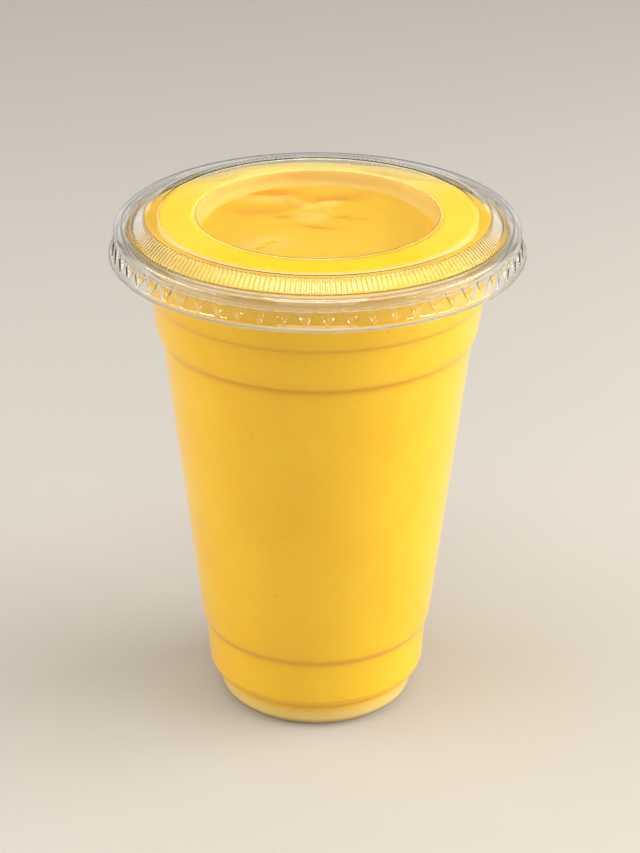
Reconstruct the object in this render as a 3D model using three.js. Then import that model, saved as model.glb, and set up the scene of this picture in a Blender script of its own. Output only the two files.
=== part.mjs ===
// Mango lassi in a clear takeaway cup with a clear flat lid, as a three.js scene graph.
// Millimetres, +Z up. The cup stands on z = 0 and its axis is the Z axis.
// Three solids: the thermoformed cup, the drink that fills it, and the lid pressed over its rim.

import * as THREE from 'three';

// Driving sizes of the cup
const RIM_RADIUS = 46.5;
const RIM_TOP = 122.55;
const CUP_WALL = 0.45;
const BASE_RADIUS = 23.45;
const PUNT_HEIGHT = 1.2;
const FOOT_TOP = 6.7;
const LOWER_BAND_TOP = 20.0;
const LOWER_BAND_RADIUS = 27.3;
const TAPER_BOTTOM = 22.8;
const TAPER_BOTTOM_RADIUS = 28.35;
const TAPER_TOP = 93.4;
const TAPER_TOP_RADIUS = 36.5;
const UPPER_CREASE = 96.3;
const TOP_CREASE = 107.3;
const SHOULDER_TOP = 118.2;
const SHOULDER_RADIUS = 42.3;

// Driving sizes of the lid
const LIP_RADIUS = 48.6;
const LIP_Z = 116.1;
const LID_SHEET = 0.4;
const BEAD_TOP = 123.4;
const PANEL_RADIUS = 28.7;
const PANEL_TOP = 125.3;
const RING_RADIUS = 36.9;
const RING_TOP = 125.1;
const RIDGE_RADIUS = 39.5;
const RIDGE_TOP = 125.5;
const LUG_COUNT = 60;
const LUG_DEPTH = 0.75;
const RIB_COUNT = 180;
const RIB_HEIGHT = 0.3;

// Driving sizes of the drink
const CLEARANCE = 0.3;
const POOL_RADIUS = 27.2;
const POOL_LEVEL = 119.85;

// Straight sides in one full turn
const CUP_SIDES = 48;
const LID_SIDES = 60;

// One ring of a turned body: its radius, height and number of sides.
// The two waves move every odd corner of the ring outward and up. A ring may also hold a
// relief, a function of radius and turn that lifts its corners.
function ring(radius, height, sides, waveOut = 0, waveUp = 0) {
  return { radius, height, sides, waveOut, waveUp };
}

function corner(r, index) {
  const turn = (2 * Math.PI * index) / r.sides;
  const odd = index % 2;
  const radius = r.radius + odd * r.waveOut;
  const lift = r.relief ? r.relief(radius, turn) : 0;
  return [radius * Math.cos(turn), radius * Math.sin(turn), r.height + odd * r.waveUp + lift];
}

// Turns a list of rings into one closed body. The first and last rings are points on the axis.
// Neighbouring rings may differ in sides by a whole factor. The rings run from the underside,
// round the outside, to the top, so the faces point outward.
function turned(sections) {
  const points = [];
  const triangles = [];
  const starts = sections.map((r) => {
    const start = points.length / 3;
    const count = r.radius === 0 ? 1 : r.sides;
    for (let i = 0; i < count; i += 1) {
      points.push(...corner(r, i));
    }
    return start;
  });

  const face = (a, b, c) => {
    triangles.push(a, b, c);
  };

  for (let k = 0; k + 1 < sections.length; k += 1) {
    const low = sections[k];
    const high = sections[k + 1];
    const lowAt = (i) => starts[k] + (i % low.sides);
    const highAt = (i) => starts[k + 1] + (i % high.sides);
    if (low.radius === 0) {
      for (let i = 0; i < high.sides; i += 1) {
        face(starts[k], highAt(i + 1), highAt(i));
      }
    } else if (high.radius === 0) {
      for (let i = 0; i < low.sides; i += 1) {
        face(lowAt(i), lowAt(i + 1), starts[k + 1]);
      }
    } else if (low.sides === high.sides) {
      // A row of teeth turns its diagonals by turns, so that each tooth is a V.
      const toothed = low.waveOut !== 0 || high.waveOut !== 0;
      const teethAbove = high.waveOut !== 0;
      for (let i = 0; i < low.sides; i += 1) {
        const even = i % 2 === 0;
        const falling = toothed ? even === teethAbove : false;
        if (falling) {
          face(lowAt(i), lowAt(i + 1), highAt(i));
          face(lowAt(i + 1), highAt(i + 1), highAt(i));
        } else {
          face(lowAt(i), lowAt(i + 1), highAt(i + 1));
          face(lowAt(i), highAt(i + 1), highAt(i));
        }
      }
    } else if (high.sides > low.sides) {
      const share = high.sides / low.sides;
      const middle = Math.floor(share / 2);
      for (let i = 0; i < low.sides; i += 1) {
        face(lowAt(i), lowAt(i + 1), highAt(i * share + middle));
        for (let j = 0; j < share; j += 1) {
          const from = j < middle ? lowAt(i) : lowAt(i + 1);
          face(from, highAt(i * share + j + 1), highAt(i * share + j));
        }
      }
    } else {
      const share = low.sides / high.sides;
      const middle = Math.floor(share / 2);
      for (let i = 0; i < high.sides; i += 1) {
        face(highAt(i + 1), highAt(i), lowAt(i * share + middle));
        for (let j = 0; j < share; j += 1) {
          const to = j < middle ? highAt(i) : highAt(i + 1);
          face(lowAt(i * share + j), lowAt(i * share + j + 1), to);
        }
      }
    }
  }

  const geometry = new THREE.BufferGeometry();
  geometry.setAttribute('position', new THREE.Float32BufferAttribute(points, 3));
  geometry.setIndex(triangles);
  geometry.computeVertexNormals();
  return geometry;
}

// The rings of one side of a body, from pairs of radius and height.
function rings(sides, pairs) {
  return pairs.map(([radius, height]) => ring(radius, height, sides));
}

// Cup: a foot, a lower band, the long taper, two stacking bands and a rolled rim.
function cupGeometry() {
  const outside = [
    [0, PUNT_HEIGHT],
    [18.6, PUNT_HEIGHT],
    [20.4, 0],
    [21.9, 0],
    [23.0, 0.6],
    [BASE_RADIUS, 1.8],
    [24.1, FOOT_TOP],
    [25.7, FOOT_TOP + 1.1],
    [26.4, FOOT_TOP + 2.5],
    [LOWER_BAND_RADIUS - 0.1, LOWER_BAND_TOP - 1.2],
    [LOWER_BAND_RADIUS, LOWER_BAND_TOP],
    [28.0, LOWER_BAND_TOP + 1.1],
    [TAPER_BOTTOM_RADIUS, TAPER_BOTTOM],
    [TAPER_TOP_RADIUS, TAPER_TOP],
    [TAPER_TOP_RADIUS + 0.25, UPPER_CREASE - 0.1],
    [37.65, UPPER_CREASE + 0.7],
    [38.2, UPPER_CREASE + 2.3],
    [39.25, TOP_CREASE - 0.9],
    [39.4, TOP_CREASE],
    [40.3, TOP_CREASE + 0.8],
    [40.8, TOP_CREASE + 2.3],
    [SHOULDER_RADIUS, SHOULDER_TOP],
    [43.3, 119.4],
  ];
  const rim = [
    [44.3, 120.1],
    [45.2, 119.3],
    [RIM_RADIUS - 0.4, 119.2],
    [RIM_RADIUS, 119.8],
    [RIM_RADIUS, RIM_TOP - 1.05],
    [RIM_RADIUS - 0.4, RIM_TOP - 0.35],
    [45.3, RIM_TOP],
    [44.8, RIM_TOP - 0.35],
    [43.9, RIM_TOP - 1.6],
  ];
  const inside = [
    [42.9, 119.8],
    [SHOULDER_RADIUS - CUP_WALL, SHOULDER_TOP],
    [40.35, TOP_CREASE + 2.4],
    [38.9, TOP_CREASE],
    [37.75, UPPER_CREASE + 2.4],
    [36.3, UPPER_CREASE + 0.2],
    [TAPER_TOP_RADIUS - CUP_WALL, TAPER_TOP],
    [TAPER_BOTTOM_RADIUS - CUP_WALL, TAPER_BOTTOM + 0.1],
    [LOWER_BAND_RADIUS - CUP_WALL, LOWER_BAND_TOP + 0.7],
    [25.95, FOOT_TOP + 2.6],
    [24.0, FOOT_TOP + 1.1],
    [BASE_RADIUS - CUP_WALL, 2.0],
    [21.7, CUP_WALL],
    [20.5, CUP_WALL],
    [18.8, PUNT_HEIGHT + CUP_WALL],
    [0, PUNT_HEIGHT + CUP_WALL],
  ];
  return turned(rings(CUP_SIDES, [...outside, ...rim, ...inside]));
}

// A soft swirl on the drink's sunken surface: a low ridge where two folds meet behind the
// middle, with small lumps in front of it.
function swirl(radius, turn) {
  const x = radius * Math.cos(turn);
  const y = radius * Math.sin(turn);
  const bump = (cx, cy, width, depth, height) =>
    height * Math.exp(-(((x - cx) / width) ** 2) - ((y - cy) / depth) ** 2);
  const ridge = bump(-4, 5.5, 4.5, 1.8, 0.45) + bump(3, 5.5, 4, 1.8, 0.35);
  const lumps = bump(1, -1, 5, 2.4, 0.45) + bump(-9, -9, 3, 1.6, 0.2);
  const slope = -0.006 * x - 0.008 * y;
  const edge = 1 - (radius / POOL_RADIUS) ** 4;
  return edge * (ridge + lumps + slope);
}

// Drink: it fills the cup and the raised lid, round an air pocket under the lid's middle.
function drinkGeometry() {
  const wall = CUP_WALL + CLEARANCE;
  const body = rings(CUP_SIDES, [
    [0, PUNT_HEIGHT + wall],
    [18.95, PUNT_HEIGHT + wall],
    [20.65, wall],
    [21.5, wall],
    [BASE_RADIUS - wall, 2.2],
    [23.65, FOOT_TOP + 1.25],
    [25.65, FOOT_TOP + 2.8],
    [LOWER_BAND_RADIUS - wall, LOWER_BAND_TOP + 0.8],
    [TAPER_BOTTOM_RADIUS - wall, TAPER_BOTTOM + 0.2],
    [TAPER_TOP_RADIUS - wall, TAPER_TOP],
    [35.95, UPPER_CREASE + 0.3],
    [37.4, UPPER_CREASE + 2.5],
    [38.55, TOP_CREASE],
    [40.0, TOP_CREASE + 2.4],
    [SHOULDER_RADIUS - wall, SHOULDER_TOP],
    [42.4, 119.7],
    [42.65, 120.9],
    [42.3, 122.1],
    [RIDGE_RADIUS + 0.3, RIDGE_TOP - 1.15],
    [RIDGE_RADIUS - 1, RIDGE_TOP - 0.85],
    [RING_RADIUS, RING_TOP - LID_SHEET - CLEARANCE],
    [PANEL_RADIUS + 0.9, RING_TOP - LID_SHEET - CLEARANCE],
    [PANEL_RADIUS + 0.3, RING_TOP - 1.3],
    [PANEL_RADIUS - 0.2, POOL_LEVEL + 1.1],
    [POOL_RADIUS + 0.5, POOL_LEVEL + 0.3],
  ]);
  const pool = [POOL_RADIUS, 23, 18.5, 14, 10, 6.5, 3, 0].map((radius) => ({
    ...ring(radius, POOL_LEVEL, CUP_SIDES),
    relief: swirl,
  }));
  return turned([...body, ...pool]);
}

// Lid: a flared lip, a skirt with V-shaped lugs under the rim, a bead over the rim, a cone of
// fine ribs, and a raised ring round a flat panel.
function lidGeometry() {
  const lugSides = 2 * LUG_COUNT;
  const ribSides = 2 * RIB_COUNT;
  const under = rings(LID_SIDES, [
    [0, PANEL_TOP - LID_SHEET],
    [PANEL_RADIUS - 0.25, PANEL_TOP - LID_SHEET],
    [PANEL_RADIUS + 0.3, RING_TOP - LID_SHEET],
    [RING_RADIUS, RING_TOP - LID_SHEET],
    [RIDGE_RADIUS - 1, RIDGE_TOP - 0.5],
    [RIDGE_RADIUS, RIDGE_TOP - 0.45],
    [RIDGE_RADIUS + 0.5, RIDGE_TOP - 0.7],
    [42.7, 122.4],
    [43.0, 121.6],
    [43.7, 121.35],
    [44.55, 122.4],
    [45.2, BEAD_TOP - LID_SHEET - 0.05],
    [45.85, BEAD_TOP - LID_SHEET - 0.05],
    [46.45, 122.5],
    [46.8, 121.6],
  ]);
  const lugsInside = [
    ring(46.95, 120.5, lugSides),
    ring(47.2, 118.7, lugSides, -LUG_DEPTH),
    ring(47.4, 117.4, lugSides),
  ];
  const lip = rings(LID_SIDES, [
    [47.8, 116.6],
    [LIP_RADIUS, LIP_Z],
    [LIP_RADIUS, LIP_Z + LID_SHEET],
    [48.05, 116.95],
  ]);
  const lugsOutside = [
    ring(47.8, 117.5, lugSides),
    ring(47.6, 118.7, lugSides, -LUG_DEPTH),
    ring(47.35, 120.5, lugSides),
  ];
  const bead = rings(LID_SIDES, [
    [47.2, 121.7],
    [46.75, 122.8],
    [45.9, BEAD_TOP - 0.05],
    [45.0, BEAD_TOP - 0.1],
    [44.25, 122.7],
    [43.7, 121.8],
    [43.15, 122.3],
  ]);
  const ribs = [
    ring(42.75, 123.05, ribSides, 0.7 * RIB_HEIGHT, 0.7 * RIB_HEIGHT),
    ring(40.45, 125.05, ribSides, 0.5 * RIB_HEIGHT, 0.5 * RIB_HEIGHT),
  ];
  const top = rings(LID_SIDES, [
    [40.0, 125.4],
    [RIDGE_RADIUS, RIDGE_TOP],
    [RIDGE_RADIUS - 1.1, RIDGE_TOP - 0.1],
    [RING_RADIUS, RING_TOP],
    [PANEL_RADIUS + 0.5, RING_TOP],
    [PANEL_RADIUS, PANEL_TOP],
    [0, PANEL_TOP],
  ]);
  return turned([...under, ...lugsInside, ...lip, ...lugsOutside, ...bead, ...ribs, ...top]);
}

const clearPlastic = new THREE.MeshStandardMaterial({
  color: 0xf3f4f0,
  roughness: 0.08,
  metalness: 0,
  transparent: true,
  opacity: 0.3,
});

const mangoDrink = new THREE.MeshStandardMaterial({
  color: 0xf2b92c,
  roughness: 0.35,
  metalness: 0,
});

function piece(name, geometry, material) {
  const mesh = new THREE.Mesh(geometry, material);
  mesh.name = name;
  return mesh;
}

const group = new THREE.Group();
group.add(piece('cup', cupGeometry(), clearPlastic));
group.add(piece('lassi', drinkGeometry(), mangoDrink));
group.add(piece('lid', lidGeometry(), clearPlastic));

export default group;
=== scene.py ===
import math

import bpy
from mathutils import Matrix, Vector


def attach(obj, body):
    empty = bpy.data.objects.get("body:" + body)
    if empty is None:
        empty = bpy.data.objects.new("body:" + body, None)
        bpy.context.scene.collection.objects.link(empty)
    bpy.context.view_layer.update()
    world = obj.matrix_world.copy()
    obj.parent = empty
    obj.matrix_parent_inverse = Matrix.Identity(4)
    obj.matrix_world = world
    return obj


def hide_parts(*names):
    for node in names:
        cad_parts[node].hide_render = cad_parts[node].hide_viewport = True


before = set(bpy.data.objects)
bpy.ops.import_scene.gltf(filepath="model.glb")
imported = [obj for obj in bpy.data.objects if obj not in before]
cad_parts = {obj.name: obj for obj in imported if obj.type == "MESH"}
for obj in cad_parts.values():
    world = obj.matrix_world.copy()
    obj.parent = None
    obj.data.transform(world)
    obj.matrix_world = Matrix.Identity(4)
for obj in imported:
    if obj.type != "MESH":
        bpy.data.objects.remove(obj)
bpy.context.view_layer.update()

MM = 0.001

# Camera: it stands a little above and in front of the cup, at the photograph's angle.
# The focal length and the distance come from how the circles of lid and foot narrow.
FRAME_LONG_SIDE = 853
FOCAL_PIXELS = 2500
SENSOR_WIDTH = 36
NEAREST_SEEN = 10 * MM
CAMERA_BACK = 542 * MM
CAMERA_HEIGHT = 332.6 * MM
CAMERA_ASIDE = 0.75 * MM
CAMERA_PITCH = math.radians(25.83)
CAMERA_ROLL = math.radians(0.27)

camera_data = bpy.data.cameras.new("camera")
camera_data.sensor_width = SENSOR_WIDTH
camera_data.lens = FOCAL_PIXELS * SENSOR_WIDTH / FRAME_LONG_SIDE
camera_data.clip_start = NEAREST_SEEN
camera = bpy.data.objects.new("camera", camera_data)
bpy.context.scene.collection.objects.link(camera)
camera.matrix_world = (
    Matrix.Translation((CAMERA_ASIDE, -CAMERA_BACK, CAMERA_HEIGHT))
    @ Matrix.Rotation(math.pi / 2 - CAMERA_PITCH, 4, "X")
    @ Matrix.Rotation(CAMERA_ROLL, 4, "Z")
)
bpy.context.scene.camera = camera
bpy.context.scene.view_settings.view_transform = "Standard"

# Light passes many faces of clear sheet in a row, so its paths may be long.
CLEAR_FACES_IN_A_ROW = 40
for limit in ("max_bounces", "transmission_bounces", "transparent_max_bounces"):
    setattr(bpy.context.scene.cycles, limit, CLEAR_FACES_IN_A_ROW)


# Studio: a sheet of matte pale paper in a pale room. Two wide softboxes light the cup's sides,
# and dimmer cards and thin strips beside them are what its clear plastic shows. One softbox
# hangs above, one stands in front, and a card behind shines through the lid.
def linear(hex_colour):
    """An sRGB hex colour as the linear red, green, blue and alpha that nodes take."""
    values = []
    for i in (1, 3, 5):
        channel = int(hex_colour[i : i + 2], 16) / 255
        if channel > 0.04045:
            values.append(((channel + 0.055) / 1.055) ** 2.4)
        else:
            values.append(channel / 12.92)
    return [*values, 1.0]


def add_node(tree, kind, settings=None, **links):
    """Adds a node. Settings are its properties, and links are its input values or sockets."""
    node = tree.nodes.new(kind)
    for key, value in (settings or {}).items():
        setattr(node, key, value)
    for key, value in links.items():
        sockets = [s for s in node.inputs if s.name.replace(" ", "_") == key and s.enabled]
        if isinstance(value, bpy.types.NodeSocket):
            tree.links.new(value, sockets[0])
        else:
            sockets[0].default_value = value
    return node


def new_material(name):
    material = bpy.data.materials.new(name)
    material.use_nodes = True
    tree = material.node_tree
    tree.nodes.clear()
    return material, tree


FLOOR_SIZE = 6.0
PAPER_COLOUR = "#B0AAA0"
PAPER_ROUGHNESS = 0.75
ROOM_COLOUR = "#F1EEE8"
ROOM_BRIGHTNESS = 0.2

# Matte studio paper spreads the light evenly and takes soft shadows, with no shine of its own.
floor_material, tree = new_material("matte_studio_paper")
shader = add_node(
    tree,
    "ShaderNodeBsdfPrincipled",
    Base_Color=linear(PAPER_COLOUR),
    Roughness=PAPER_ROUGHNESS,
)
add_node(tree, "ShaderNodeOutputMaterial", Surface=shader.outputs[0])

bpy.ops.mesh.primitive_plane_add(size=FLOOR_SIZE, location=(0, 0, 0))
floor = bpy.context.object
floor.name = "floor"
floor.data.materials.append(floor_material)

world = bpy.data.worlds.new("pale_room")
bpy.context.scene.world = world
world.use_nodes = True
room = world.node_tree.nodes["Background"]
room.inputs["Color"].default_value = linear(ROOM_COLOUR)
room.inputs["Strength"].default_value = ROOM_BRIGHTNESS

CUP_MIDDLE = Vector((0, 0, 0.07))


def add_light(name, place, width, height, watts, mirrored=True):
    """A soft lamp that faces the cup. One that isn't mirrored lights only matte faces, and
    clear plastic neither mirrors it nor shows it through itself."""
    data = bpy.data.lights.new(name, "AREA")
    data.shape = "RECTANGLE"
    data.size = width
    data.size_y = height
    data.energy = watts
    light = bpy.data.objects.new(name, data)
    bpy.context.scene.collection.objects.link(light)
    light.location = place
    direction = CUP_MIDDLE - Vector(place)
    light.rotation_euler = direction.to_track_quat("-Z", "Y").to_euler()
    light.visible_glossy = mirrored
    light.visible_transmission = mirrored


add_light(
    "right_softbox", (0.78, 0.02, 0.38), width=0.8, height=0.55, watts=7.2, mirrored=False
)
add_light(
    "left_softbox", (-0.78, 0.02, 0.36), width=0.8, height=0.55, watts=2.6, mirrored=False
)
add_light("right_card", (0.79, 0.02, 0.38), width=0.8, height=0.55, watts=1.2)
add_light("left_card", (-0.79, 0.02, 0.36), width=0.8, height=0.55, watts=0.9)
add_light("top_softbox", (0.0, -0.05, 0.95), width=1.6, height=1.1, watts=8.0)
add_light("top_strip", (0.0, -0.3, 0.93), width=0.6, height=0.12, watts=1.8)
add_light("right_strip", (0.7, -0.15, 0.37), width=0.8, height=0.05, watts=2.4)
add_light("left_strip", (-0.7, -0.15, 0.37), width=0.8, height=0.05, watts=1.6)
add_light("front_softbox", (0.0, -0.85, 0.6), width=0.7, height=0.45, watts=2.1)
add_light("back_card", (0.0, 0.95, 0.22), width=1.6, height=0.44, watts=1.5)


# Cup: clear PET sheet, vacuum-formed in one piece over a mould. It has a stepped foot, a long
# taper and two stacking bands, and its rim is rolled outward into a hollow curl.
# Its sizes are in millimetres, as are those of the lid and the drink.
CUP_SHEET = 0.45
CUP_TURN_STEPS = 192
CUP_WALL_STEP = 2.0
CUP_FOOT_TOP = 6.7
CUP_LOWER_BAND_TOP = 20.0
CUP_UPPER_CREASE = 96.3
CUP_TOP_CREASE = 107.3
FILLET_SHARE = 0.48
FILLET_STEPS = 10
ON_AXIS = 1e-6


def rounded(corners):
    """A line along corners of (radius, height, fillet), rounded at each. A fillet takes less
    than half of each side that it joins, and it gets more steps where the turn is sharper."""
    line = []
    for i, (radius, height, fillet) in enumerate(corners):
        here = Vector((radius, height))
        if fillet == 0 or i in (0, len(corners) - 1):
            line.append(here)
            continue
        before = Vector(corners[i - 1][:2]) - here
        after = Vector(corners[i + 1][:2]) - here
        longest = FILLET_SHARE * min(before.length, after.length)
        half_turn = before.angle(after) / 2
        reach = min(fillet / math.tan(half_turn), longest)
        start = here + before.normalized() * reach
        end = here + after.normalized() * reach
        steps = 2 + round(FILLET_STEPS * (1 - half_turn / (math.pi / 2)))
        for k in range(steps + 1):
            t = k / steps
            line.append(start * (1 - t) ** 2 + here * 2 * t * (1 - t) + end * t**2)
    return line


def divided(corners, longest):
    """A line through corners of (radius, height), with no stretch longer than a length."""
    points = [Vector(corner) for corner in corners]
    line = [points[0]]
    for a, b in zip(points, points[1:]):
        parts = max(1, math.ceil((b - a).length / longest))
        line += [a.lerp(b, (k + 1) / parts) for k in range(parts)]
    return line


def beside(line, distance):
    """The line moved sideways, to the right of the way it runs."""
    moved_line = []
    for i, point in enumerate(line):
        ahead = line[min(i + 1, len(line) - 1)] - line[max(i - 1, 0)]
        side = Vector((ahead.y, -ahead.x)).normalized()
        moved = point + side * distance
        if point.x == 0:
            moved.x = 0
        moved_line.append(moved)
    return moved_line


def turned(name, line, steps, shift=None):
    """A closed body turned from a line of (radius, height) in millimetres, which starts and
    ends on the axis. Shift gives each point's move outward and up from its place and turn."""
    vertices = []
    faces = []
    starts = []
    for index, point in enumerate(line):
        starts.append(len(vertices))
        count = 1 if point.x < ON_AXIS else steps
        for k in range(count):
            turn = 2 * math.pi * k / steps
            out, up = shift(index, point, turn) if shift else (0, 0)
            x = (point.x + out) * math.cos(turn)
            y = (point.x + out) * math.sin(turn)
            vertices.append((x * MM, y * MM, (point.y + up) * MM))
    for a, b, low, high in zip(line, line[1:], starts, starts[1:]):
        for k in range(steps):
            after = (k + 1) % steps
            if a.x < ON_AXIS:
                faces.append((low, high + after, high + k))
            elif b.x < ON_AXIS:
                faces.append((low + k, low + after, high))
            else:
                faces.append((low + k, low + after, high + after, high + k))
    mesh = bpy.data.meshes.new(name)
    mesh.from_pydata(vertices, [], faces)
    mesh.polygons.foreach_set("use_smooth", [True] * len(mesh.polygons))
    mesh.update()
    body = bpy.data.objects.new(name, mesh)
    bpy.context.scene.collection.objects.link(body)
    return body


cup_outside = rounded(
    [
        (0, 1.2, 0),
        (18.4, 1.2, 1.0),
        (20.0, 0, 0.8),
        (22.0, 0, 1.8),
        (23.7, 1.8, 2.2),
        (24.4, CUP_FOOT_TOP, 0.5),
        (26.0, CUP_FOOT_TOP + 0.6, 0.6),
        (26.6, CUP_FOOT_TOP + 2.2, 1.2),
        (27.3, CUP_LOWER_BAND_TOP - 0.4, 0.9),
        (28.1, CUP_LOWER_BAND_TOP + 1.2, 1.2),
        (28.4, CUP_LOWER_BAND_TOP + 3.0, 2.0),
        (36.6, CUP_UPPER_CREASE - 2.0, 4.0),
        (36.8, CUP_UPPER_CREASE, 0.8),
        (37.8, CUP_UPPER_CREASE + 0.9, 1.2),
        (38.2, CUP_UPPER_CREASE + 2.6, 3.0),
        (39.35, CUP_TOP_CREASE - 0.2, 0.8),
        (40.3, CUP_TOP_CREASE + 0.7, 1.2),
        (40.8, CUP_TOP_CREASE + 2.4, 2.5),
        (42.35, 118.4, 2.5),
        (44.0, 120.4, 0),
    ]
)
RIM_CENTRE = (45.2, 120.85)
RIM_HALF_WIDTH = 1.3
RIM_HALF_HEIGHT = 1.65
RIM_START = math.radians(-135)
RIM_END = math.radians(165)
RIM_STEPS = 24


def rim_curl(depth):
    """The rim's curl, from its rolled-in edge round its outer side and over the top to the
    wall, at a depth in its sheet."""
    line = []
    for k in range(RIM_STEPS + 1):
        angle = RIM_START + (RIM_END - RIM_START) * k / RIM_STEPS
        radius = RIM_CENTRE[0] + (RIM_HALF_WIDTH - depth) * math.cos(angle)
        height = RIM_CENTRE[1] + (RIM_HALF_HEIGHT - depth) * math.sin(angle)
        line.append(Vector((radius, height)))
    return line


cup_wall = divided(cup_outside, CUP_WALL_STEP)
cup_inside = beside(cup_wall, -CUP_SHEET)
cup_line = cup_wall + rim_curl(CUP_SHEET)[::-1] + rim_curl(0.0) + cup_inside[::-1]
cup = turned("clear_cup", cup_line, CUP_TURN_STEPS)

PET_IOR = 1.5
PET_TINT = "#FDFDFB"
PET_SHADOW_TINT = "#F7F7F4"
CUP_ROUGHNESS = 0.03
CUP_RIPPLE_HEIGHT = 0.02
RIPPLE_WIDTH = 9 * MM
RIPPLE_STRETCH = 4
FROST_WIDTH = 0.5
FROST_ROUGHNESS = 0.6


def clear_pet(name, roughness, ripple_height, cut_edge=None):
    """Clear PET sheet, formed hot against a mould: bright, smooth, with faint long ripples where
    it stretched. Lamps shine through it, as its two faces lie close together. Towards the
    radius of a cut edge it is frosted by the die."""
    material, tree = new_material(name)
    place = add_node(tree, "ShaderNodeTexCoord")
    stretch = add_node(
        tree,
        "ShaderNodeMapping",
        Vector=place.outputs["Object"],
        Scale=(1, 1, 1 / RIPPLE_STRETCH),
    )
    ripple = add_node(
        tree,
        "ShaderNodeTexNoise",
        Vector=stretch.outputs[0],
        Scale=1 / RIPPLE_WIDTH,
        Detail=2.0,
        Roughness=0.4,
    )
    bump = add_node(
        tree,
        "ShaderNodeBump",
        Height=ripple.outputs["Fac"],
        Strength=1.0,
        Distance=ripple_height * MM,
    )
    plastic = add_node(
        tree,
        "ShaderNodeBsdfPrincipled",
        Base_Color=linear(PET_TINT),
        Roughness=roughness,
        IOR=PET_IOR,
        Transmission_Weight=1.0,
        Normal=bump.outputs[0],
    )
    if cut_edge:
        flat = add_node(
            tree, "ShaderNodeMapping", Vector=place.outputs["Object"], Scale=(1, 1, 0)
        )
        radius = add_node(
            tree, "ShaderNodeVectorMath", {"operation": "LENGTH"}, Vector=flat.outputs[0]
        )
        frost = add_node(
            tree,
            "ShaderNodeMapRange",
            Value=radius.outputs["Value"],
            From_Min=(cut_edge - FROST_WIDTH) * MM,
            From_Max=cut_edge * MM,
            To_Min=roughness,
            To_Max=FROST_ROUGHNESS,
        )
        tree.links.new(frost.outputs[0], plastic.inputs["Roughness"])
    straight = add_node(tree, "ShaderNodeBsdfTransparent", Color=linear(PET_SHADOW_TINT))
    path = add_node(tree, "ShaderNodeLightPath")
    shader = plastic
    for ray in ("Is Diffuse Ray", "Is Shadow Ray"):
        mix = add_node(tree, "ShaderNodeMixShader", Fac=path.outputs[ray])
        tree.links.new(shader.outputs[0], mix.inputs[1])
        tree.links.new(straight.outputs[0], mix.inputs[2])
        shader = mix
    add_node(tree, "ShaderNodeOutputMaterial", Surface=shader.outputs[0])
    return material


cup.data.materials.append(
    clear_pet("vacuum_formed_pet_cup", CUP_ROUGHNESS, CUP_RIPPLE_HEIGHT)
)
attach(cup, "root")
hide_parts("cup")


# Lid: clear PET sheet, vacuum-formed and die-cut. A bead snaps over the rim, V-shaped lugs in
# the skirt grip below it, and a cone of fine ribs lifts a flat panel above the rim.
LID_SHEET = 0.38
LID_TURN_STEPS = 900
LID_STEP = 0.5
LID_PANEL_STEP = 4.0
LID_PANEL_RADIUS = 39.7
LID_ROUGHNESS = 0.02
LID_RIPPLE_HEIGHT = 0.006
LID_CUT_EDGE = 48.4
SKIRT_RADIUS = 46.5
LUG_COUNT = 60
LUG_DEPTH = 0.85
LUG_BOTTOM = 117.2
LUG_TOP = 120.6
LUG_FADE_END = 121.0
LUG_FADE = 0.5
LUG_POINT_WIDTH = 0.12
LUG_SPREAD = 0.8
LUG_SLOPE = 0.2
LUG_END_SHARE = 0.45
RIB_COUNT = 225
RIB_HEIGHT = 0.19
RIB_INNER_END = 39.9
RIB_INNER_FADE = 0.5
RIB_OUTER_END = 43.2
RIB_OUTER_FADE = 0.4
RIB_FOOT = 121.8
CONE_FACES = (0.66, 0.75)

lid_profile = rounded(
    [
        (48.6, 116.1, 0),
        (48.6, 116.45, 0.1),
        (48.0, 116.95, 0.5),
        (47.75, 117.5, 0.6),
        (47.3, 120.7, 0.8),
        (47.25, 122.6, 1.5),
        (45.4, 124.0, 1.6),
        (43.85, 122.6, 1.2),
        (43.6, 121.4, 0.5),
        (43.1, 122.2, 0.5),
        (42.9, 122.9, 0.5),
        (40.1, 125.35, 0.8),
        (38.9, 125.55, 1.2),
        (37.1, 125.4, 0.4),
        (36.8, 125.1, 0.2),
        (36.4, 125.1, 0),
        (29.5, 125.1, 0),
        (29.15, 125.1, 0.15),
        (28.6, 125.3, 0.15),
        (28.2, 125.3, 0),
        (0, 125.3, 0),
    ]
)
lid_outside = []
for a, b in zip(lid_profile, lid_profile[1:]):
    longest = LID_STEP if b.x > LID_PANEL_RADIUS else LID_PANEL_STEP
    lid_outside += divided([a, b], longest)[:-1]
lid_outside.append(lid_profile[-1])
lid_inside = beside(lid_outside, -LID_SHEET)
lid_line = lid_inside[::-1] + lid_outside


def smooth_step(x):
    """0 up to 0 and 1 from 1 on, with a soft curve between."""
    x = min(1.0, max(0.0, x))
    return x * x * (3 - 2 * x)


def rib_lift(point, turn):
    """How far the cone's ribs stand off its face at a place."""
    if not RIB_INNER_END < point.x < RIB_OUTER_END or point.y < RIB_FOOT:
        return 0.0
    inner = smooth_step((point.x - RIB_INNER_END) / RIB_INNER_FADE)
    outer = smooth_step((RIB_OUTER_END - point.x) / RIB_OUTER_FADE)
    return RIB_HEIGHT * inner * outer * math.cos(RIB_COUNT * turn)


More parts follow.
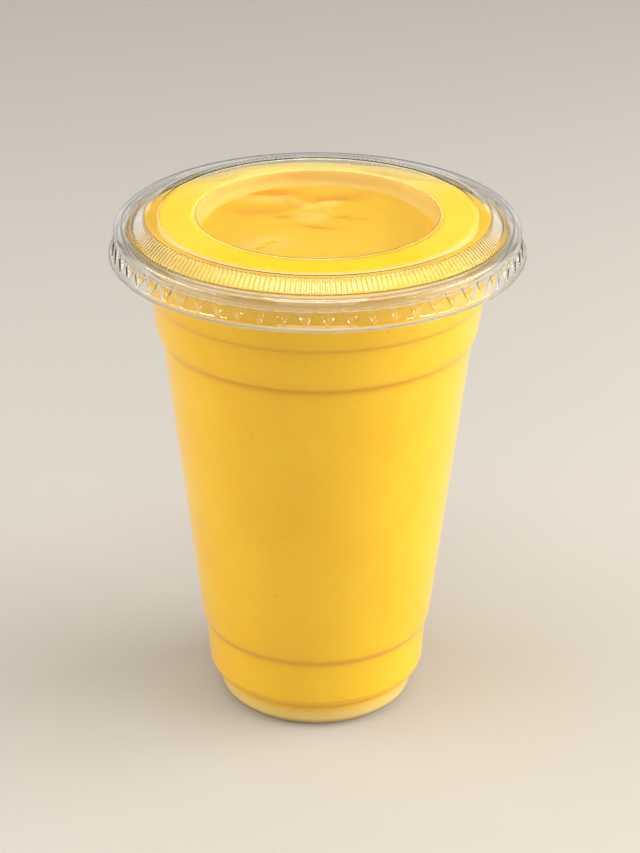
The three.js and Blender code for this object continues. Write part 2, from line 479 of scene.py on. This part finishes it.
def lug_depth(point, turn):
    """How far the skirt is pressed in at a place: a V that is wide at its top."""
    if not LUG_BOTTOM < point.y < LUG_FADE_END or point.x < SKIRT_RADIUS:
        return 0.0
    rise = (point.y - LUG_BOTTOM) / (LUG_TOP - LUG_BOTTOM)
    across = abs((turn * LUG_COUNT / (2 * math.pi)) % 1 - 0.5) * 2
    half_width = LUG_POINT_WIDTH + LUG_SPREAD * min(1.0, rise)
    inside = smooth_step((half_width - across) / LUG_SLOPE)
    top = smooth_step((LUG_FADE_END - point.y) / LUG_FADE)
    deep = LUG_END_SHARE + (1 - LUG_END_SHARE) * (1 - abs(2 * rise - 1))
    return LUG_DEPTH * inside * top * deep


def lid_shift(index, point, turn):
    """Ribs rise the way the cone faces, and lugs are pressed towards the axis."""
    lift = rib_lift(point, turn)
    return lift * CONE_FACES[0] - lug_depth(point, turn), lift * CONE_FACES[1]


lid = turned("clear_lid", lid_line, LID_TURN_STEPS, lid_shift)
lid.data.materials.append(
    clear_pet("vacuum_formed_pet_lid", LID_ROUGHNESS, LID_RIPPLE_HEIGHT, LID_CUT_EDGE)
)
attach(lid, "root")
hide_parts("lid")


# Lassi: mango pulp and yoghurt, blended thick. It fills the cup, clings to the underside of the
# lid, and leaves one air pocket under the lid's panel. It reaches just into the sheet around it,
# so that no air shows between the two.
INTO_SHEET = 0.22
DRINK_TURN_STEPS = 360
DRINK_WALL_STEP = 3.0
DRINK_WALL_TOP = 118.6
DRINK_TOP_STEP = 0.6
CREASES = (CUP_FOOT_TOP, CUP_LOWER_BAND_TOP, CUP_UPPER_CREASE, CUP_TOP_CREASE)
CREASE_STEP = 0.45
CREASE_REACH = 3.0
CONE_BOTTOM = 119.2
RING_STEP = 0.9
RING_CONTACT = 124.84
POCKET_BOTTOM = 120.3
POOL_RADIUS = 27.6
POOL_LEVEL = 119.85
POOL_RINGS = 56

drink_wall = []
for a, b in zip(cup_outside, cup_outside[1:-1]):
    near = min(abs(b.y - crease) for crease in CREASES) < CREASE_REACH
    drink_wall += divided([a, b], CREASE_STEP if near else DRINK_WALL_STEP)[:-1]
drink_wall = beside(drink_wall, INTO_SHEET - CUP_SHEET)
while drink_wall[-1].y > DRINK_WALL_TOP:
    drink_wall.pop()
under_cone = divided(
    [
        (42.2, CONE_BOTTOM),
        (42.6, 120.4),
        (42.7, 121.4),
        (42.3, 122.2),
        (41.3, 123.2),
        (40.1, 124.1),
        (39.7, 124.0),
        (38.4, 124.2),
        (37.2, 124.15),
    ],
    DRINK_TOP_STEP,
)
ring_contact = divided(
    [(36.85, 124.3), (36.65, 124.7), (36.3, RING_CONTACT), (29.6, RING_CONTACT)], RING_STEP
)
pocket = divided(
    [(29.25, 124.75), (29.0, 124.2), (28.7, 122.3), (28.4, 121.1), (28.0, POCKET_BOTTOM)],
    DRINK_TOP_STEP,
)
pool = [
    Vector((POOL_RADIUS * (1 - k / POOL_RINGS), POOL_LEVEL)) for k in range(POOL_RINGS + 1)
]
drink_line = drink_wall + under_cone + ring_contact + pocket + pool
first_cone = len(drink_wall)
first_ring = first_cone + len(under_cone)
first_pocket = first_ring + len(ring_contact)
first_pool = first_pocket + len(pocket)

# Waves that run round the drink, each as its height, its count in a turn, and its start.
WET_EDGE_WAVES = ((1.1, 4, 0.4), (0.7, 9, 2.0))
CONE_WAVES = ((0.12, 7, 1.0), (0.1, 13, 0.0))
POCKET_WAVES = ((0.25, 3, 2.0), (0.2, 8, 0.0))
WET_RADIUS = 38.0
WET_RETREAT = 6.2
DRY_SLOPE = 1.4
SLUMP = 2.4
CONE_RISE = 3.0
CONE_SAG_ASIDE = 0.5
CONE_SAG_BACK = 0.8
POCKET_REACH = 2.0
POOL_BACK_RISE = 1.1
POOL_RISES_FROM = 21.0
POOL_CALM_EDGE = 3.0


def waves(parts, turn):
    return sum(height * math.sin(count * turn + start) for height, count, start in parts)


def at_back(sine):
    """1 round the back of the cup and 0 in its front half, from the sine of the turn."""
    return smooth_step((sine - 0.2) / 0.7)


def in_front(sine):
    """1 in the middle of the front and 0 from its corners back."""
    return smooth_step((-sine - 0.5) / 0.4)


def past_front(sine):
    """0 in the middle of the front and 1 from the sides back."""
    return smooth_step((sine + 0.75) / 0.6)


def wet_radius(turn):
    """How far out the drink clings to the lid's ring: all of it in front, little at the back."""
    back = smooth_step((math.sin(turn) - 0.35) / 0.45)
    return WET_RADIUS - WET_RETREAT * back + waves(WET_EDGE_WAVES, turn) * back


# The hills and hollows of the pool, each as its x, y, length, width, angle and height. The
# narrow folds of the swirl also paint the drink's colour, with painted shade in their hollows
# and painted light on their crests, and the broad swells don't.
POOL_FOLDS = [
    (-13.0, 20.6, 6.5, 1.0, 2, 1.0),
    (-6.6, 20.2, 3.2, 0.8, -30, 1.2),
    (-3.9, 17.6, 2.2, 0.8, -48, 1.0),
    (-0.5, 16.8, 3.2, 0.8, 14, 1.1),
    (3.2, 18.6, 2.8, 0.7, 33, 1.0),
    (2.2, 15.2, 2.6, 0.7, -58, 0.45),
    (-3.8, 12.2, 3.8, 1.2, -14, 0.5),
    (-1.6, 9.0, 2.6, 1.7, 10, 0.6),
    (-0.4, 4.4, 4.6, 1.0, -18, -0.55),
    (-8.4, 11.0, 2.6, 1.0, 20, -0.5),
    (5.4, 11.2, 2.2, 0.8, 22, -0.45),
    (9.2, 9.8, 3.4, 0.9, -8, -0.4),
    (-13.1, -9.2, 1.7, 0.7, 38, -0.8),
    (-11.2, -6.2, 2.1, 0.7, 24, -0.8),
    (-12.2, -7.2, 5.0, 3.4, 26, 0.4),
    (-14.0, 23.6, 9.0, 1.6, 10, -0.7),
    (-14.0, 14.5, 9.0, 3.0, 6, -0.35),
    (3.0, 22.4, 8.0, 2.0, 4, -0.5),
]
POOL_SWELLS = [
    (12.0, 1.0, 9.0, 4.0, 14, 0.3),
    (2.0, -14.0, 13.0, 4.5, -6, 0.25),
]


def hill(x, y, middle_x, middle_y, length, width, angle, height):
    """How high a smooth long hill on the pool is at a place. Its angle is in degrees."""
    cosine = math.cos(math.radians(angle))
    sine = math.sin(math.radians(angle))
    along = ((x - middle_x) * cosine + (y - middle_y) * sine) / length
    across = (-(x - middle_x) * sine + (y - middle_y) * cosine) / width
    return height * math.exp(-along * along - across * across)


def relief(x, y, hills):
    return sum(hill(x, y, *sizes) for sizes in hills)


def drink_shift(index, point, turn):
    """How the drink departs from its turned line: it sags from the lid at the sides and the
    back, and its pool is hilly and stands a little higher at the back."""
    back = at_back(math.sin(turn))
    if index < first_cone:
        return 0.0, 0.0
    if index < first_ring:
        aside = past_front(math.sin(turn))
        high = smooth_step((point.y - CONE_BOTTOM) / CONE_RISE)
        level = waves(CONE_WAVES, turn) - CONE_SAG_ASIDE * aside - CONE_SAG_BACK * back
        return 0.0, high * level
    if index < first_pocket:
        dry = smooth_step((point.x - wet_radius(turn)) / DRY_SLOPE)
        return 0.0, -SLUMP * dry
    if index < first_pool:
        deep = smooth_step((RING_CONTACT - point.y) / POCKET_REACH)
        low = max(0.0, 1.0 - (point.y - POCKET_BOTTOM) / POCKET_REACH)
        return deep * waves(POCKET_WAVES, turn), back * low * POOL_BACK_RISE
    x = point.x * math.cos(turn)
    y = point.x * math.sin(turn)
    calm = smooth_step((POOL_RADIUS - point.x) / POOL_CALM_EDGE)
    edge = smooth_step((point.x - POOL_RISES_FROM) / (POOL_RADIUS - POOL_RISES_FROM))
    rise = POOL_BACK_RISE * back * edge
    return 0.0, rise + calm * relief(x, y, POOL_FOLDS + POOL_SWELLS)


# The tones of the zones under the lid, each as its middle, how much paler it is at the back,
# and how much painted shade it has in front.
CONE_TONE = (0.15, 0.75, 0.25)
RIDGE_TONE = (-0.05, 0.9, 0.55)
RING_TONE = (0.14, 0.5, 0.14)
CONE_INNER_RADIUS = 39.9
RIDGE_INNER_RADIUS = 36.9
RING_INNER_RADIUS = 29.2
# Painted shade along each crease of the cup, in the order of CREASES, and how wide it spreads in
# millimetres.
CREASE_SHADE = (0.6, 0.6, 0.65, 0.3)
CREASE_SHADE_WIDTH = 1.0
FOOT_TONE = 0.8
FOOT_FADE = 4.0
DRY_TONE = 0.8
DRY_DEPTH = 1.5
# The pocket's wall is paler, partly as a thin film of drink and partly as painted reflection.
POCKET_TONE = 0.55
# The most painted light on a crest of the pool, and how strongly its folds paint light and
# shade.
POOL_PAINTED_LIGHT = 0.3
POOL_CONTRAST = 1.9
WALL_TOP = POOL_LEVEL - 2


def drink_tone(x, y, z):
    """1 where the drink is painted pale, and -1 where it is painted in shade, as in a deep fold
    of the pool. On the wall painted shade runs along each crease of the cup, and the foot is
    paler.
    The pool's hollows are painted shade and its crests painted light."""
    if z < WALL_TOP:
        # Painted shade along each crease of the cup.
        deep = 0.0
        for crease, shade in zip(CREASES, CREASE_SHADE):
            deep += shade * math.exp(-(((z - crease) / CREASE_SHADE_WIDTH) ** 2))
        return FOOT_TONE * smooth_step((CUP_FOOT_TOP - z) / FOOT_FADE) - deep
    radius = math.hypot(x, y)
    if radius < RING_INNER_RADIUS:
        # The pocket's wall is paler: partly a thin film of drink, partly painted reflection.
        if radius > POOL_RADIUS:
            return POCKET_TONE
        # The pool's folds paint shade into their hollows and light onto their crests.
        return max(-1.0, min(POOL_PAINTED_LIGHT, relief(x, y, POOL_FOLDS) * POOL_CONTRAST))
    zone = RING_TONE
    if radius > RIDGE_INNER_RADIUS:
        zone = RIDGE_TONE
    if radius > CONE_INNER_RADIUS:
        zone = CONE_TONE
    middle, paler, front_painted_shade = zone
    # Each zone is paler at the back and carries painted shade in front.
    tone = middle + paler * at_back(y / radius) - front_painted_shade * in_front(y / radius)
    if zone == RING_TONE:
        dry = smooth_step((RING_CONTACT - z) / DRY_DEPTH)
        tone = max(tone, DRY_TONE * dry)
    return tone


drink = turned("mango_lassi", drink_line, DRINK_TURN_STEPS, drink_shift)
tone = drink.data.attributes.new("tone", "FLOAT", "POINT")
tone.data.foreach_set("value", [drink_tone(*(v.co / MM)) for v in drink.data.vertices])

FOLD_DEEP = "#F5BC14"
FOLD_PALE = "#F8C61F"
PULP_SPECK = "#D8971A"
# The colours that the tone mixes in: a pale colour, which is painted light on the pool's crests,
# and painted shade.
PALE_AND_PAINTED_LIGHT = "#EDD283"
PAINTED_SHADE = "#E39A06"
FOLD_LENGTH = 22 * MM
SPECK_SPACING = 3.2 * MM
SPECK_CORE = 0.05
SPECK_EDGE = 0.12
SPECK_STRENGTH = 0.55
PULP_GRAIN = 1.4 * MM
PULP_HEIGHT = 0.05 * MM
LIGHT_REACH = 2.0 * MM

# The place of the colour among the outputs of a mix node.
MIXED_COLOUR = 2


def blended_lassi():
    """Blended mango and yoghurt: opaque, smooth and wet. Light sinks in a little way, fine pulp
    makes faint specks, and slow folds in it are a shade paler. The pulp's grain is drawn coarser
    than it is, so that it shows. The IOR is low, as the drink lies wet against its sheet."""
    material, tree = new_material("blended_mango_yoghurt")
    place = add_node(tree, "ShaderNodeTexCoord")
    folds = add_node(
        tree,
        "ShaderNodeTexNoise",
        Vector=place.outputs["Object"],
        Scale=1 / FOLD_LENGTH,
        Detail=3.0,
        Roughness=0.5,
        Distortion=0.8,
    )
    fold_colour = add_node(tree, "ShaderNodeValToRGB", Fac=folds.outputs["Fac"])
    deep_end, pale_end = fold_colour.color_ramp.elements
    deep_end.position = 0.3
    deep_end.color = linear(FOLD_DEEP)
    pale_end.position = 0.75
    pale_end.color = linear(FOLD_PALE)
    specks = add_node(
        tree,
        "ShaderNodeTexVoronoi",
        Vector=place.outputs["Object"],
        Scale=1 / SPECK_SPACING,
        Randomness=1.0,
    )
    speck_share = add_node(
        tree,
        "ShaderNodeMapRange",
        Value=specks.outputs["Distance"],
        From_Min=SPECK_CORE,
        From_Max=SPECK_EDGE,
        To_Min=SPECK_STRENGTH,
        To_Max=0.0,
    )
    colour = add_node(
        tree,
        "ShaderNodeMix",
        {"data_type": "RGBA"},
        Factor=speck_share.outputs[0],
        A=fold_colour.outputs[0],
        B=linear(PULP_SPECK),
    )
    # The tone paints light and shade into the colour: paler towards 1, with painted light on the
    # pool's crests, and painted shade towards -1.
    tone = add_node(tree, "ShaderNodeAttribute", {"attribute_name": "tone"})
    for limit, tone_colour in ((1.0, PALE_AND_PAINTED_LIGHT), (-1.0, PAINTED_SHADE)):
        share = add_node(
            tree,
            "ShaderNodeMapRange",
            Value=tone.outputs["Fac"],
            From_Min=0.0,
            From_Max=limit,
        )
        colour = add_node(
            tree,
            "ShaderNodeMix",
            {"data_type": "RGBA"},
            Factor=share.outputs[0],
            A=colour.outputs[MIXED_COLOUR],
            B=linear(tone_colour),
        )
    pulp = add_node(
        tree,
        "ShaderNodeTexNoise",
        Vector=place.outputs["Object"],
        Scale=1 / PULP_GRAIN,
        Detail=3.0,
        Roughness=0.55,
    )
    bump = add_node(
        tree,
        "ShaderNodeBump",
        Height=pulp.outputs["Fac"],
        Strength=0.5,
        Distance=PULP_HEIGHT,
    )
    shader = add_node(
        tree,
        "ShaderNodeBsdfPrincipled",
        Base_Color=colour.outputs[MIXED_COLOUR],
        Roughness=0.32,
        IOR=1.2,
        Subsurface_Weight=0.25,
        Subsurface_Radius=(1.0, 0.9, 0.3),
        Subsurface_Scale=LIGHT_REACH,
        Normal=bump.outputs[0],
    )
    add_node(tree, "ShaderNodeOutputMaterial", Surface=shader.outputs[0])
    return material


drink.data.materials.append(blended_lassi())
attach(drink, "root")
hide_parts("lassi")
